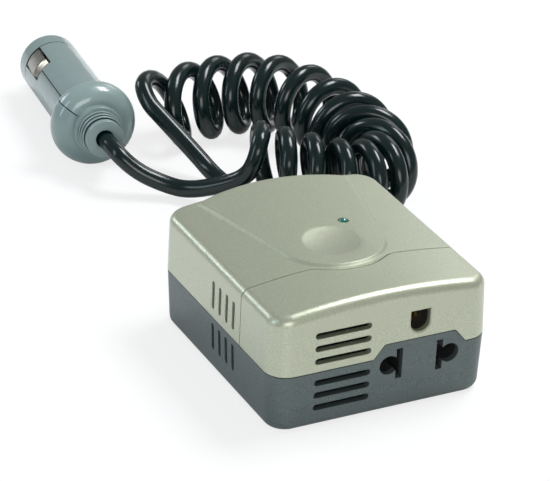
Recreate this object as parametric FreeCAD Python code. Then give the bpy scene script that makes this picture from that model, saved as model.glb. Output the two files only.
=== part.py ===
import FreeCAD, Part
import math
import os

# Mobile voltage converter: a moulded case with a two-pole socket and earth opening, and a curly
# lead with a vehicle lighter-socket plug. Millimetres, Z up, origin at the bottom middle of the
# case, socket face towards -Y, lead leaving the back face towards +Y.

os.makedirs("parts", exist_ok=True)

Vec = FreeCAD.Vector
X_AXIS = Vec(1, 0, 0)
Y_AXIS = Vec(0, 1, 0)
Z_AXIS = Vec(0, 0, 1)


# Case: overall size, walls and rounding
case_width = 68.0
case_depth = 76.0
corner_radius = 6.5
parting_height = 18.0
crown_height = 38.0
crown_drop = 2.8
wall = 2.0
floor_thickness = 2.0
lower_draft = 2.0
upper_draft = 1.0
top_edge_round = 3.0
bottom_edge_round = 3.0
inner_edge_round = 1.5
shadow_gap = 0.25
shadow_depth = 0.5

# Register lip that lines the covers up on the lower shell
lip_height = 1.4
lip_thickness = 0.9
lip_clearance = 0.1
lip_front_end = -30.0

# Front step of the lower shell round the socket
socket_height = 15.1
step_height = 3.9
step_half_width = 14.2
step_top_half_width = 11.0
step_corner_round = 1.2
step_margin = 0.5
seam_gap = 0.2

# Seam between the front and rear covers
seam_y = -16.0
seam_fillet = 6.0
seam_bulge_radius = 16.9

# Raised tongue on the rear cover, with its thumb dimple
tongue_centre_y = -4.0
tongue_radius = 15.3
tongue_flare = 10.9
tongue_rise = 0.7
tongue_bevel = 1.2
tongue_skirt = 4.0
dimple_radius = 9.5
dimple_depth = 1.1

# Bowed back of the rear cover, over which the tongue runs: how far its middle stands out behind
# the case at the top, how far its sides stay in front, and how it rakes in towards the parting
bow_half_width = 22.5
bow_reach = 2.2
bow_setback = 1.2
bow_foot_gap = 0.1

# Air vents
front_vent_length = 17.3
front_vent_height = 1.9
front_vent_step_gap = 1.2
vent_pitch = 3.95
upper_front_vent_top = 29.1
lower_front_vent_top = 14.4
front_vent_rows = 3
side_vent_width = 1.7
side_vent_pitch = 4.4
side_vent_first_y = 1.8
side_vent_columns = 4
side_vent_reach = 1.5
upper_side_vent = (20.7, 29.4)
lower_side_vent = (7.5, 15.9)

# Socket: round pin holes joined to flat blade slots, and the earth opening above
pin_hole_radius = 2.95
pin_spacing = 19.0
blade_spacing = 12.7
blade_width = 2.0
blade_height = 9.5
earth_rise = 12.0
earth_width = 6.05
earth_height = 6.65
earth_bevel = 0.4

# Socket insulator and its brass contacts
insulator_gap = 0.4
insulator_face = 7.0
insulator_depth = 11.6
insulator_half_width = 14.0
insulator_side_gap = 0.2
insulator_bottom = 7.5
insulator_top = 21.0
tower_half_width = 5.6
tower_headroom = 2.2
tower_face = 5.0
tower_depth = 8.6
tower_side_wall = 1.2
earth_pocket_height = 8.8
pocket_inner = 4.8
pocket_outer = 12.8
pocket_bottom = 9.8
pocket_top = 20.4
contact_sheet = 0.5
contact_length = 4.2
contact_grip = 2.45
contact_seat = 0.1
blade_leaf_gap = 1.6
blade_leaf_height = 9.0
sleeve_slit = 0.8
tail_length = 3.0
tail_width = 2.4
tail_thickness = 0.6
insulator_round = 1.0
rib_thickness = 1.6
rib_sink = 0.2
earth_leaf_gap = 2.0
earth_leaf_height = 7.6

# Screws and the bosses they run in
screw_side_inset = 5.2
screw_end_inset = 6.5
boss_radius = 3.3
boss_wall_gap = 0.2
boss_meet_height = 14.0
screw_hole_radius = 1.6
screw_shank_radius = 1.4
screw_pilot_radius = 1.45
screw_head_radius = 2.7
screw_head_height = 2.0
screw_bevel = 0.6
cross_slot = 0.9
cross_reach = 1.6
cross_depth = 1.2
screw_recess_radius = 2.9
screw_recess_depth = 4.0
screw_length = 16.0
pilot_depth = 12.0

# Circuit board
board_height = 5.0
board_thickness = 1.6
board_side_gap = 2.5
board_front_inset = 18.0
board_back_inset = 5.5
board_notch = 4.4
post_radius = 2.4
front_post_x = 13.5
front_post_inset = 10.5
back_post_x = 20.0
back_post_inset = 3.5
board_screw_radius = 1.1
board_screw_head = 2.2
board_screw_head_height = 1.3
board_screw_length = 4.4
board_screw_clearance = 0.05
board_screw_overlap = 0.2
board_screw_bevel = 0.5
board_hole_gap = 0.2

# Transformer
transformer_gap = 1.5
transformer_y = 15.0
core_width = 25.0
core_height = 20.0
core_thickness = 7.0
core_outer_leg = 3.2
core_yoke = 3.5
bobbin_base = 2.4
bobbin_flange = 0.9
bobbin_clearance = 0.15
bobbin_wall = 0.8
bobbin_rim = 0.6
bobbin_foot_gap = 0.45
winding_build = 4.6
winding_round = 4.5
winding_gap = 0.05

# Heat sink with its power transistors, on the vent side of the board
sink_wall_gap = 2.0
sink_front_y = -12.0
sink_back_y = 22.0
sink_plate = 2.5
sink_height = 22.0
fin_length = 6.0
fin_thickness = 1.2
fin_count = 6
transistor_width = 10.0
transistor_thickness = 4.5
transistor_height = 15.0
transistor_tab = 1.3
transistor_tab_height = 6.0
transistor_leg = 3.0
transistor_leg_pitch = 2.54
tab_hole_radius = 1.8
leg_setback = 2.1
leg_thickness = 0.6
leg_width = 0.8
sink_transistor_y = (-5.0, 15.0)
bridge_transistor_x = (-9.5, 1.2, 11.9, 22.6)
bridge_transistor_inset = 3.0

# Capacitors: a row of cans from behind the bridge transistors to the back of the board
can_x = 21.0
can_radius = 5.0
can_heights = (20.0, 17.0, 17.0)
can_front_inset = 13.0
can_back_inset = 11.0
can_bevel = 0.8

# Control chip
chip_x = 0.0
chip_inset = 13.5
chip_length = 19.5
chip_width = 6.4
chip_height = 3.4
chip_lift = 0.6
chip_leg = 0.6
chip_leg_pitch = 2.54
chip_legs = 8

# Power light
light_x = 8.7
light_y = 5.7
light_radius = 1.5
light_clearance = 0.1
light_flange_radius = 1.9
light_flange_height = 1.0
light_stand = 0.7
light_leg = 0.5
light_leg_spacing = 1.27

# Cord and its route through the back of the case
cord_diameter = 5.6
cord_clearance = 0.1
grommet_x = 15.0
grommet_height = 11.0
grommet_neck_radius = 5.0
grommet_flange_radius = 6.2
grommet_flange_thickness = 1.6
grommet_clip_thickness = 1.8
grommet_reach = 20.0
grommet_end_radius = 4.0
grommet_root_radius = 4.9
grommet_groove_count = 4
grommet_groove_width = 1.6
grommet_groove_depth = 0.7
grommet_fit = 0.1
cord_depth_in_grommet = 8.0
conductor_radius = 1.0
conductor_gap = 0.05
conductor_spacing = 2.6
conductor_bend = 4.0
output_wire_radius = 0.7
output_wire_bend = 2.4
output_wire_lap = 1.8
contact_gap = 0.05

# Curls: middle of the wire round each loop, and the plan of the loops' middles along the coil.
# Each station is (x, y, way the loop faces in degrees, lean in degrees)
curl_radius = 10.8
curl_turns = 15.5
curl_start_angle = -60.0
curl_first = 0.4
curl_last = 15.4
curl_stations = (
    (25.5, 99.0, -15.0, 0.0), (27.5, 94.5, -16.0, 0.0), (33.5, 86.0, -16.0, 0.0), (41.0, 77.0, -8.0, 0.0),
    (49.0, 69.5, 5.0, 0.0), (58.0, 72.0, 6.0, 0.0), (63.5, 84.5, 35.0, 0.0), (64.0, 98.0, 77.0, 0.0),
    (62.5, 110.5, 102.0, 0.0), (59.5, 124.0, 120.0, 1.0), (53.5, 137.0, 130.0, 12.0),
    (44.0, 143.5, 135.0, 16.0), (31.5, 144.5, 137.0, 18.0), (18.5, 142.0, 139.0, 19.0),
    (7.5, 141.0, 150.0, 14.0),
)
curl_sides = 12
curl_steps_per_turn = 48

# Where the free cord runs into the curls and out of them: the corner of the cord before or after
# the curls, and the point at which the curling begins or ends
curl_entry_corner = (5.0, 104.0, 3.6)
curl_entry = (14.0, 94.6, 8.4)
curl_exit = (7.4, 131.0, 17.0)
curl_exit_corner = (14.4, 118.6, 8.0)

# Free stretches of the cord, as the points where its straight runs meet
case_lead_points = (
    (15.0, 63.0, 11.0), (15.8, 77.0, 5.4), (18.0, 90.5, 2.8), (18.9, 102.0, 2.8), (17.0, 111.5, 3.9),
)
plug_lead_points = ((-9.0, 114.2, 8.6), (-1.0, 109.2, 4.6))
plug_exit_run = 6.5

# Plug: place of its flange and the way it lies, then its own sizes along its axis.
# Stations are measured from the widest part of the flange, positive towards the nose.
plug_x = -11.9
plug_y = 141.9
plug_yaw = 7.8
floor_lift = 0.02
flange_radius = 14.0
barrel_radius = 10.1
plug_length = 58.5
nose_length = 8.0
flange_front = 5.5
flange_back = 4.5
shell_wall = 1.9
nose_round = 1.0
neck_radius = 8.6
neck_length = 4.4
neck_clearance = 0.1
split_angle = 38.0
collar_radius = 7.35
collar_length = 2.4
relief_radius = 6.6
relief_end_radius = 6.1
relief_end = 15.0
relief_root = 4.0
relief_groove_count = 3
relief_groove_width = 0.7
relief_groove_depth = 0.8
relief_head = 1.1
relief_head_radius = 7.6
relief_fit = 0.1
relief_bevel = 0.7
collar_bevel = 0.5

# Plug contacts, fuse and spring
window_length = 15.0
window_half_angle = 23.0
leaf_half_angle = 18.5
leaf_sheet = 0.5
leaf_length = 13.2
leaf_rise = 0.9
leaf_root_gap = 0.3
leaf_tail = 1.6
tip_radius = 3.1
tip_clearance = 0.06
tip_reach = 5.0
tip_flange_radius = 5.0
tip_flange_thickness = 2.4
tip_gap = 0.05
cap_end_wall = 2.0
fuse_length = 30.0
fuse_radius = 3.1
fuse_cap_length = 6.0
tip_travel = 3.0
tip_dome = 1.6
bore_ledge = 1.2
spring_wire_radius = 0.4
spring_radius = 2.6
spring_turns = 6
spring_sides = 8
spring_seat = 2.0

wire_radius = cord_diameter / 2
half_width = case_width / 2
half_depth = case_depth / 2
board_top = board_height + board_thickness
board_half_width = half_width - wall - board_side_gap
board_front_y = -half_depth + board_front_inset
board_back_y = half_depth - board_back_inset
screw_x = half_width - screw_side_inset
screw_y = half_depth - screw_end_inset
screw_places = [(x * screw_x, y * screw_y) for x in (-1, 1) for y in (-1, 1)]
socket_x = screw_x - boss_radius - insulator_side_gap - insulator_half_width
front_vent_x = socket_x - step_half_width - front_vent_step_gap - front_vent_length / 2
insulator_front = -half_depth + wall + insulator_gap
insulator_back = insulator_front + insulator_depth
post_places = [(side * front_post_x, board_front_y + front_post_inset) for side in (-1, 1)]
post_places += [(side * back_post_x, board_back_y - back_post_inset) for side in (-1, 1)]
bridge_transistor_y = board_front_y + bridge_transistor_inset
chip_y = board_front_y + chip_inset
sink_x = sink_plate + fin_length + sink_wall_gap - half_width + wall
transformer_x = sink_x + transistor_thickness + transformer_gap + core_width / 2
centre_leg = core_thickness
core_bottom = board_top + bobbin_base
bobbin_low = core_bottom + core_yoke + bobbin_clearance
bobbin_high = core_bottom + core_height - core_yoke - bobbin_clearance
bobbin_tube = centre_leg / 2 + bobbin_clearance + bobbin_wall


def tan(degrees):
    return math.tan(math.radians(degrees))


def cos(degrees):
    return math.cos(math.radians(degrees))


def sin(degrees):
    return math.sin(math.radians(degrees))


def save(shape, name):
    shape.exportStep("parts/" + name + ".step")
    print(name, "solids", len(shape.Solids), "volume", round(shape.Volume, 1), "valid", shape.isValid())


def box(x_from, x_to, y_from, y_to, z_from, z_to):
    """Box between two corners, whose x values may come in either order, and the y values too."""
    corner = Vec(min(x_from, x_to), min(y_from, y_to), z_from)
    return Part.makeBox(abs(x_to - x_from), abs(y_to - y_from), z_to - z_from, corner)


def centred_box(x, y, half_x, half_y, z_from, z_to):
    return box(x - half_x, x + half_x, y - half_y, y + half_y, z_from, z_to)


def line(start, end):
    return Part.LineSegment(start, end).toShape()


def arc(start, middle, end):
    return Part.Arc(start, middle, end).toShape()


def rod(radius, base, direction, length):
    return Part.makeCylinder(radius, length, base, direction)


# Case forms

def round_edges(shape, radius, wanted):
    edges = [edge for edge in shape.Edges if wanted(edge)]
    return shape.makeFillet(radius, edges)


def bevel_edges(shape, size, wanted):
    edges = [edge for edge in shape.Edges if wanted(edge)]
    return shape.makeChamfer(size, edges)


def four_sided(bottom, top):
    """Flat-faced solid between two four-cornered outlines."""
    outlines = [bottom[::-1], top]
    for index in range(4):
        follow = (index + 1) % 4
        outlines.append([bottom[index], bottom[follow], top[follow], top[index]])
    faces = [Part.Face(Part.makePolygon(outline + [outline[0]])) for outline in outlines]
    shell = Part.makeShell(faces)
    shell.sewShape()
    return Part.makeSolid(shell)


def case_corners(height, inset):
    """Corners of the case at one height, drawn in by the draft and an inset."""
    if height >= parting_height:
        shrink = inset + (height - parting_height) * tan(upper_draft)
    else:
        shrink = inset + (parting_height - height) * tan(lower_draft)
    x = half_width - shrink
    y = half_depth - shrink
    return [Vec(x, y, height), Vec(-x, y, height), Vec(-x, -y, height), Vec(x, -y, height)]


def case_block(low, high, inset):
    block = four_sided(case_corners(low, inset), case_corners(high, inset))
    upright = 0.9 * (high - low)
    return round_edges(block, corner_radius - inset, lambda edge: edge.BoundBox.ZLength > upright)


def crown(lift):
    """Long cylinder across the case whose top is the cover's crowned surface."""
    radius = (half_width ** 2 + crown_drop ** 2) / (2 * crown_drop)
    base = Vec(0, -case_depth, crown_height - radius)
    return rod(radius + lift, base, Y_AXIS, 2 * case_depth)


def upper_form(inset, lift):
    block = case_block(parting_height, crown_height + 2, inset)
    form = block.common(crown(lift - inset))
    rim = crown_height - crown_drop - inset - 3
    return round_edges(form, top_edge_round - inset, lambda edge: edge.BoundBox.ZMin > rim)


def lower_form(low, inset, edge_round):
    block = case_block(low, parting_height, inset)
    return round_edges(block, edge_round, lambda edge: edge.BoundBox.ZMax < low + 0.01)


def tongue_corners(height):
    """Flared part of the tongue at one height, from where it meets the round front."""
    radius = tongue_radius - (height - crown_height) * tongue_bevel
    side_x = radius * cos(tongue_flare)
    side_y = tongue_centre_y - radius * sin(tongue_flare)
    end_y = half_depth + 5
    end_x = side_x + (end_y - side_y) * tan(tongue_flare)
    return [Vec(side_x, side_y, height), Vec(end_x, end_y, height), Vec(-end_x, end_y, height),
            Vec(-side_x, side_y, height)]


def bowed_back(inset, lift):
    """Room below the crown whose back is bowed in plan and rakes out towards the top."""
    low = parting_height
    high = crown_height + 2
    depth = bow_reach + bow_setback
    radius = (bow_half_width ** 2 + depth ** 2) / (2 * depth)
    rake = (bow_reach + bow_foot_gap) / (crown_height - parting_height)
    middle = Vec(0, half_depth + bow_reach - radius, low)
    top_radius = radius + rake * (high - crown_height)
    cone = Part.makeCone(radius - bow_reach - bow_foot_gap - inset, top_radius - inset, high - low, middle)
    side = half_width - wall - inset
    form = cone.common(box(-side, side, -half_depth, case_depth, low, high)).common(crown(lift - inset))
    rim = crown_height - crown_drop - inset - 1
    return round_edges(form, top_edge_round - inset, lambda edge: edge.BoundBox.ZMin > rim
                       and edge.BoundBox.YMin > half_depth / 2 and edge.BoundBox.XLength > bow_half_width)


def tongue():
    """Raised panel with bevelled edges, following the crown and the bowed back of the cover."""
    low = crown_height - tongue_skirt
    high = crown_height + 2
    front = Part.makeCone(tongue_radius + (crown_height - low) * tongue_bevel,
                          tongue_radius - (high - crown_height) * tongue_bevel,
                          high - low, Vec(0, tongue_centre_y, low))
    wedge = front.fuse(four_sided(tongue_corners(low), tongue_corners(high)))
    below = box(-bow_half_width, bow_half_width, half_depth / 2, case_depth, parting_height, low + 1)
    return bowed_back(0, tongue_rise).common(wedge.fuse(below))


def seam_region(offset):
    """Everything in front of the seam line between the two covers."""
    far = case_depth
    line_y = seam_y + offset
    bulge_centre = Vec(0, tongue_centre_y, 0)
    fillet_y = seam_y - seam_fillet
    reach = seam_bulge_radius + seam_fillet
    fillet_x = math.sqrt(reach ** 2 - (bulge_centre.y - fillet_y) ** 2)
    edges = []
    for side in (1, -1):
        fillet_centre = Vec(side * fillet_x, fillet_y, 0)
        outward = (fillet_centre - bulge_centre) * (1 / reach)
        on_line = Vec(side * fillet_x, line_y, 0)
        on_bulge = bulge_centre + outward * (seam_bulge_radius - offset)
        half_way = (Vec(0, 1, 0) - outward).normalize()
        middle = fillet_centre + half_way * (seam_fillet + offset)
        edges.append(arc(on_line, middle, on_bulge))
        edges.append(line(Vec(side * far, line_y, 0), on_line))
        edges.append(line(Vec(side * far, line_y, 0), Vec(side * far, -far, 0)))
        if side == 1:
            right_bulge = on_bulge
    front = Vec(0, tongue_centre_y - (seam_bulge_radius - offset), 0)
    edges.append(arc(right_bulge, front, on_bulge))
    edges.append(line(Vec(far, -far, 0), Vec(-far, -far, 0)))
    face = Part.Face(Part.Wire(Part.__sortEdges__(edges)))
    return face.extrude(Vec(0, 0, 2 * crown_height))


def step_prism(gap):
    """Trapezoid round the socket, through the front wall, grown by a gap."""
    slope = math.hypot(step_height, step_half_width - step_top_half_width) / step_height
    bottom = parting_height - 0.5 * (1 if gap else 0)
    top = parting_height + step_height + gap
    lean = (step_half_width - step_top_half_width) / step_height
    low_half = step_half_width + gap * slope + (parting_height - bottom) * lean
    top_half = step_top_half_width + gap * slope - gap * lean
    front = -half_depth - 1
    points = [Vec(socket_x - low_half, front, bottom), Vec(socket_x - top_half, front, top),
              Vec(socket_x + top_half, front, top), Vec(socket_x + low_half, front, bottom)]
    prism = Part.Face(Part.makePolygon(points + [points[0]])).extrude(Vec(0, wall + 4, 0))
    return round_edges(prism, step_corner_round,
                       lambda edge: edge.BoundBox.ZMin > top - 0.01 and edge.BoundBox.YLength > 1
                       and edge.BoundBox.XLength < 0.01)


# Openings

def slot_along_x(height, y_from, y_to):
    radius = front_vent_height / 2
    half = front_vent_length / 2 - radius
    slot = box(front_vent_x - half, front_vent_x + half, y_from, y_to, height - radius, height + radius)
    for side in (-1, 1):
        slot = slot.fuse(rod(radius, Vec(front_vent_x + side * half, y_from, height), Y_AXIS, y_to - y_from))
    return slot


def slot_along_z(low, high, y_middle, x_from, x_to):
    radius = side_vent_width / 2
    slot = box(x_from, x_to, y_middle - radius, y_middle + radius, low + radius, high - radius)
    for height in (low + radius, high - radius):
        slot = slot.fuse(rod(radius, Vec(x_from, y_middle, height), X_AXIS, x_to - x_from))
    return slot


def front_vents(top_row):
    vents = []
    for row in range(front_vent_rows):
        height = top_row - row * vent_pitch
        vents.append(slot_along_x(height, -half_depth - 1, -half_depth + wall + 1))
    return Part.makeCompound(vents)


def side_vents(span):
    vents = []
    for side in (-1, 1):
        inner = side * (half_width - wall - side_vent_reach)
        outer = side * (half_width + 1)
        for column in range(side_vent_columns):
            y = side_vent_first_y - column * side_vent_pitch
            vents.append(slot_along_z(span[0], span[1], y, min(inner, outer), max(inner, outer)))
    return Part.makeCompound(vents)


def pole_opening(side, y_from, y_to):
    """One pole of the socket: a round pin hole joined to a flat blade slot."""
    pin = Vec(socket_x + side * pin_spacing / 2, y_from, socket_height)
    hole = rod(pin_hole_radius, pin, Y_AXIS, y_to - y_from)
    blade_x = socket_x + side * blade_spacing / 2
    slot = box(blade_x - blade_width / 2, blade_x + blade_width / 2, y_from, y_to,
               socket_height - blade_height / 2, socket_height + blade_height / 2)
    return hole.fuse(slot)


def earth_outline(grow, y):
    """Flat-topped, round-bottomed earth opening at one depth."""
    radius = earth_width / 2 + grow
    middle_z = socket_height + earth_rise
    top = middle_z + earth_height / 2 + grow
    turn = middle_z - earth_height / 2 + earth_width / 2
    left_top = Vec(socket_x - radius, y, top)
    right_top = Vec(socket_x + radius, y, top)
    left_turn = Vec(socket_x - radius, y, turn)
    right_turn = Vec(socket_x + radius, y, turn)
    bottom = Vec(socket_x, y, turn - radius)
    return Part.Wire([line(left_turn, left_top), line(left_top, right_top), line(right_top, right_turn),
                      arc(right_turn, bottom, left_turn)])


def earth_opening(y_from, y_to):
    return Part.Face(earth_outline(0, y_from)).extrude(Vec(0, y_to - y_from, 0))


# Case pieces

def lower_shell():
    shell = lower_form(0, 0, bottom_edge_round).cut(lower_form(floor_thickness, wall, inner_edge_round))
    wall_form = upper_form(0, 0).cut(upper_form(wall, 0))
    shell = shell.fuse(wall_form.common(step_prism(0)))
    lip_top = parting_height + lip_height
    lip = case_block(parting_height, lip_top, wall - lip_thickness)
    lip = lip.cut(case_block(parting_height, lip_top, wall))
    lip = lip.common(box(-half_width, half_width, lip_front_end, half_depth, parting_height, lip_top))
    shell = shell.fuse(lip)
    foot = floor_thickness / 2
    rib_front = -half_depth + wall - rib_sink
    bosses = []
    for x, y in screw_places:
        bosses.append(rod(boss_radius, Vec(x, y, foot), Z_AXIS, boss_meet_height - foot))
    for x, y in post_places:
        bosses.append(rod(post_radius, Vec(x, y, foot), Z_AXIS, board_height - foot))
    for side in (-1, 1):
        rib_x = socket_x + side * pin_spacing / 2
        bosses.append(box(rib_x - rib_thickness / 2, rib_x + rib_thickness / 2, rib_front, insulator_back,
                          foot, insulator_bottom))
    body = lower_form(0, 0, bottom_edge_round)
    for boss in bosses:
        shell = shell.fuse(boss.common(body))
    for x, y in screw_places:
        shell = shell.cut(rod(screw_hole_radius, Vec(x, y, -1), Z_AXIS, parting_height))
        shell = shell.cut(rod(screw_recess_radius, Vec(x, y, -1), Z_AXIS, screw_recess_depth + 1))
    for x, y in post_places:
        shell = shell.cut(rod(board_screw_radius, Vec(x, y, floor_thickness), Z_AXIS, board_height))
    shell = shell.cut(front_vents(lower_front_vent_top)).cut(side_vents(lower_side_vent))
    for side in (-1, 1):
        shell = shell.cut(pole_opening(side, -half_depth - 1, insulator_front))
    back = half_depth + 1
    shell = shell.cut(rod(grommet_neck_radius + grommet_fit, Vec(grommet_x, back, grommet_height),
                          Vec(0, -1, 0), wall + 4))
    groove_low = parting_height - shadow_gap
    groove = case_block(groove_low, parting_height, -1)
    groove = groove.cut(case_block(groove_low, parting_height, shadow_depth))
    step_reach = step_half_width + step_margin
    groove = groove.cut(box(socket_x - step_reach, socket_x + step_reach, -case_depth, lip_front_end,
                            0, crown_height))
    return shell.cut(groove).removeSplitter()


def upper_shell():
    """Both silver covers as one moulding, before the seam parts them."""
    outer = upper_form(0, 0).fuse(tongue())
    shell = outer.cut(upper_form(wall, 0))
    for x, y in screw_places:
        post = rod(boss_radius, Vec(x, y, boss_meet_height), Z_AXIS, crown_height)
        inside = case_block(parting_height, crown_height + 1, wall / 2).common(crown(-wall / 2))
        below = box(-half_width, half_width, -half_depth, half_depth, boss_meet_height, parting_height)
        inner_walls = case_block(boss_meet_height, parting_height, wall + boss_wall_gap)
        shell = shell.fuse(post.common(inside)).fuse(post.common(below).common(inner_walls))
        shell = shell.cut(rod(screw_pilot_radius, Vec(x, y, boss_meet_height - 1), Z_AXIS, pilot_depth + 1))
    lip_top = parting_height + lip_height + lip_clearance
    rebate = case_block(parting_height, lip_top, wall - lip_thickness - lip_clearance)
    rebate = rebate.cut(case_block(parting_height, lip_top, wall + lip_clearance))
    rebate = rebate.common(box(-half_width, half_width, lip_front_end - lip_clearance, half_depth,
                               parting_height, lip_top))
    shell = shell.cut(rebate)
    shell = shell.cut(front_vents(upper_front_vent_top)).cut(side_vents(upper_side_vent))
    shell = shell.cut(step_prism(seam_gap))
    shell = shell.cut(earth_opening(-half_depth - 1, insulator_front))
    bevel = Part.makeLoft([earth_outline(2 * earth_bevel, -half_depth - earth_bevel),
                           earth_outline(0, -half_depth + 1.5 * earth_bevel)], True, True)
    shell = shell.cut(bevel)
    sphere_radius = (dimple_radius ** 2 + dimple_depth ** 2) / (2 * dimple_depth)
    sphere_z = crown_height + tongue_rise - dimple_depth + sphere_radius
    shell = shell.cut(Part.makeSphere(sphere_radius, Vec(0, tongue_centre_y, sphere_z)))
    light_hole = Vec(light_x, light_y, parting_height)
    return shell.cut(rod(light_radius + light_clearance, light_hole, Z_AXIS, crown_height))


def case_screws():
    screws = []
    seat = screw_recess_depth
    face = seat - screw_head_height
    for x, y in screw_places:
        head = rod(screw_head_radius, Vec(x, y, face), Z_AXIS, screw_head_height)
        head = bevel_edges(head, screw_bevel, lambda edge: edge.BoundBox.ZMax < seat - 1)
        cross = centred_box(x, y, cross_slot / 2, cross_reach, face, face + cross_depth)
        cross = cross.fuse(centred_box(x, y, cross_reach, cross_slot / 2, face, face + cross_depth))
        shank = rod(screw_shank_radius, Vec(x, y, seat), Z_AXIS, screw_length)
        screws.append(head.cut(cross).fuse(shank).removeSplitter())
    return Part.makeCompound(screws)


def socket_insulator():
    left = socket_x - insulator_half_width
    right = socket_x + insulator_half_width
    block = box(left, right, insulator_front, insulator_back, insulator_bottom, insulator_top)
    block = round_edges(block, insulator_round, lambda edge: edge.BoundBox.YLength > 5)
    tower_top = surface_height(socket_x + tower_half_width) - tongue_rise - wall - tower_headroom
    tower = box(socket_x - tower_half_width, socket_x + tower_half_width, insulator_front,
                insulator_front + tower_depth, insulator_top - 2, tower_top)
    tower = round_edges(tower, insulator_round, lambda edge: edge.BoundBox.YLength > 5
                        and edge.BoundBox.ZMin > insulator_top)
    block = block.fuse(tower)
    for side in (-1, 1):
        block = block.cut(pole_opening(side, insulator_front - 1, insulator_front + insulator_face + 1))
        block = block.cut(box(socket_x + side * pocket_inner, socket_x + side * pocket_outer,
                              insulator_front + insulator_face, insulator_back + 1,
                              pocket_bottom, pocket_top))
    block = block.cut(earth_opening(insulator_front - 1, insulator_front + tower_face + 1))
    pocket = tower_half_width - tower_side_wall
    middle = socket_height + earth_rise
    half = earth_pocket_height / 2
    block = block.cut(box(socket_x - pocket, socket_x + pocket, insulator_front + tower_face,
                          insulator_front + tower_depth + 1, middle - half, middle + half))
    return block.removeSplitter()


def pole_contact(side):
    """Sleeve for a round pin, joined to two leaves that grip a flat blade."""
    start = insulator_front + insulator_face + contact_seat
    end = start + contact_length
    base = Vec(pin_spacing / 2, start, 0)
    sleeve = rod(contact_grip + contact_sheet, base, Y_AXIS, contact_length)
    blade_x = blade_spacing / 2
    gap = blade_leaf_gap / 2
    half = blade_leaf_height / 2
    jaws = box(blade_x - gap - contact_sheet, blade_x + gap + contact_sheet, start, end, -half, half)
    between = box(blade_x - gap, blade_x + gap, start - 1, end - contact_sheet, -half - 1, half + 1)
    tail_x = pin_spacing / 2
    tail_low = -contact_grip - contact_sheet
    tail = box(tail_x - tail_width / 2, tail_x + tail_width / 2, end - contact_sheet, end + tail_length,
               tail_low, tail_low + contact_sheet)
    slit = box(pin_spacing / 2, pin_spacing, start - 1, end + 1, -sleeve_slit / 2, sleeve_slit / 2)
    bore = rod(contact_grip, base - Y_AXIS, Y_AXIS, contact_length + 2)
    contact = sleeve.fuse(jaws).cut(between).cut(slit).cut(bore).fuse(tail).removeSplitter()
    if side < 0:
        contact = contact.mirror(Vec(0, 0, 0), X_AXIS)
    return contact.translated(Vec(socket_x, 0, socket_height))


def earth_contact():
    start = insulator_front + tower_face + contact_seat
    end = insulator_front + tower_depth
    middle = socket_height + earth_rise
    half = earth_leaf_height / 2
    outer = earth_leaf_gap + contact_sheet
    clip = box(socket_x - outer, socket_x + outer, start, end, middle - half, middle + half)
    clip = clip.cut(box(socket_x - earth_leaf_gap, socket_x + earth_leaf_gap, start - 1, end - contact_sheet,
                        middle - half - 1, middle + half + 1))
    tail = box(socket_x - tail_width / 2, socket_x + tail_width / 2, end - contact_sheet, end + tail_length,
               middle - tail_thickness / 2, middle + tail_thickness / 2)
    return clip.fuse(tail)


# Parts on the circuit board

def circuit_board():
    board = box(-board_half_width, board_half_width, board_front_y, board_back_y, board_height, board_top)
    for x, y in screw_places:
        board = board.cut(rod(board_notch, Vec(x, y, 0), Z_AXIS, parting_height))
    for x, y in post_places:
        board = board.cut(rod(board_screw_radius + board_hole_gap, Vec(x, y, 0), Z_AXIS, parting_height))
    return board


def board_screws():
    screws = []
    for x, y in post_places:
        tip = Vec(x, y, board_top + board_screw_overlap - board_screw_length)
        shank = rod(board_screw_radius - board_screw_clearance, tip, Z_AXIS, board_screw_length)
        head = rod(board_screw_head, Vec(x, y, board_top), Z_AXIS, board_screw_head_height)
        head = bevel_edges(head, board_screw_bevel, lambda edge: edge.BoundBox.ZMin > board_top + 1)
        screws.append(shank.fuse(head))
    return Part.makeCompound(screws)


def transformer_core():
    """Ring-shaped iron core on edge, with a square middle leg through the bobbin."""
    x = transformer_x
    y = transformer_y
    core = centred_box(x, y, core_width / 2, core_thickness / 2, core_bottom, core_bottom + core_height)
    for side in (-1, 1):
        near = x + side * centre_leg / 2
        far = x + side * (core_width / 2 - core_outer_leg)
        core = core.cut(box(near, far, y - core_thickness, y + core_thickness,
                            core_bottom + core_yoke, core_bottom + core_height - core_yoke))
    return core


def transformer_bobbin():
    """Flanged tube round the middle leg, standing on the board on two feet."""
    x = transformer_x
    y = transformer_y
    reach = centre_leg / 2 + winding_build + bobbin_rim
    flange_x = core_width / 2 - core_outer_leg - bobbin_clearance
    bobbin = centred_box(x, y, bobbin_tube, bobbin_tube, bobbin_low, bobbin_high)
    for z in (bobbin_low, bobbin_high - bobbin_flange):
        bobbin = bobbin.fuse(centred_box(x, y, flange_x, reach, z, z + bobbin_flange))
    for side in (-1, 1):
        near = y + side * (core_thickness / 2 + bobbin_foot_gap)
        bobbin = bobbin.fuse(box(x - flange_x, x + flange_x, near, y + side * reach,
                                 board_top, bobbin_low + bobbin_flange))
    hole = centre_leg / 2 + bobbin_clearance
    return bobbin.cut(centred_box(x, y, hole, hole, bobbin_low - 1, bobbin_high + 1)).removeSplitter()


def transformer_winding():
    x = transformer_x
    y = transformer_y
    low = bobbin_low + bobbin_flange + winding_gap
    high = bobbin_high - bobbin_flange - winding_gap
    half = centre_leg / 2 + winding_build
    inner = bobbin_tube + winding_gap
    block = round_edges(centred_box(x, y, half, half, low, high), winding_round,
                        lambda edge: edge.BoundBox.ZLength > 1)
    return block.cut(centred_box(x, y, inner, inner, low - 1, high + 1))


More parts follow.
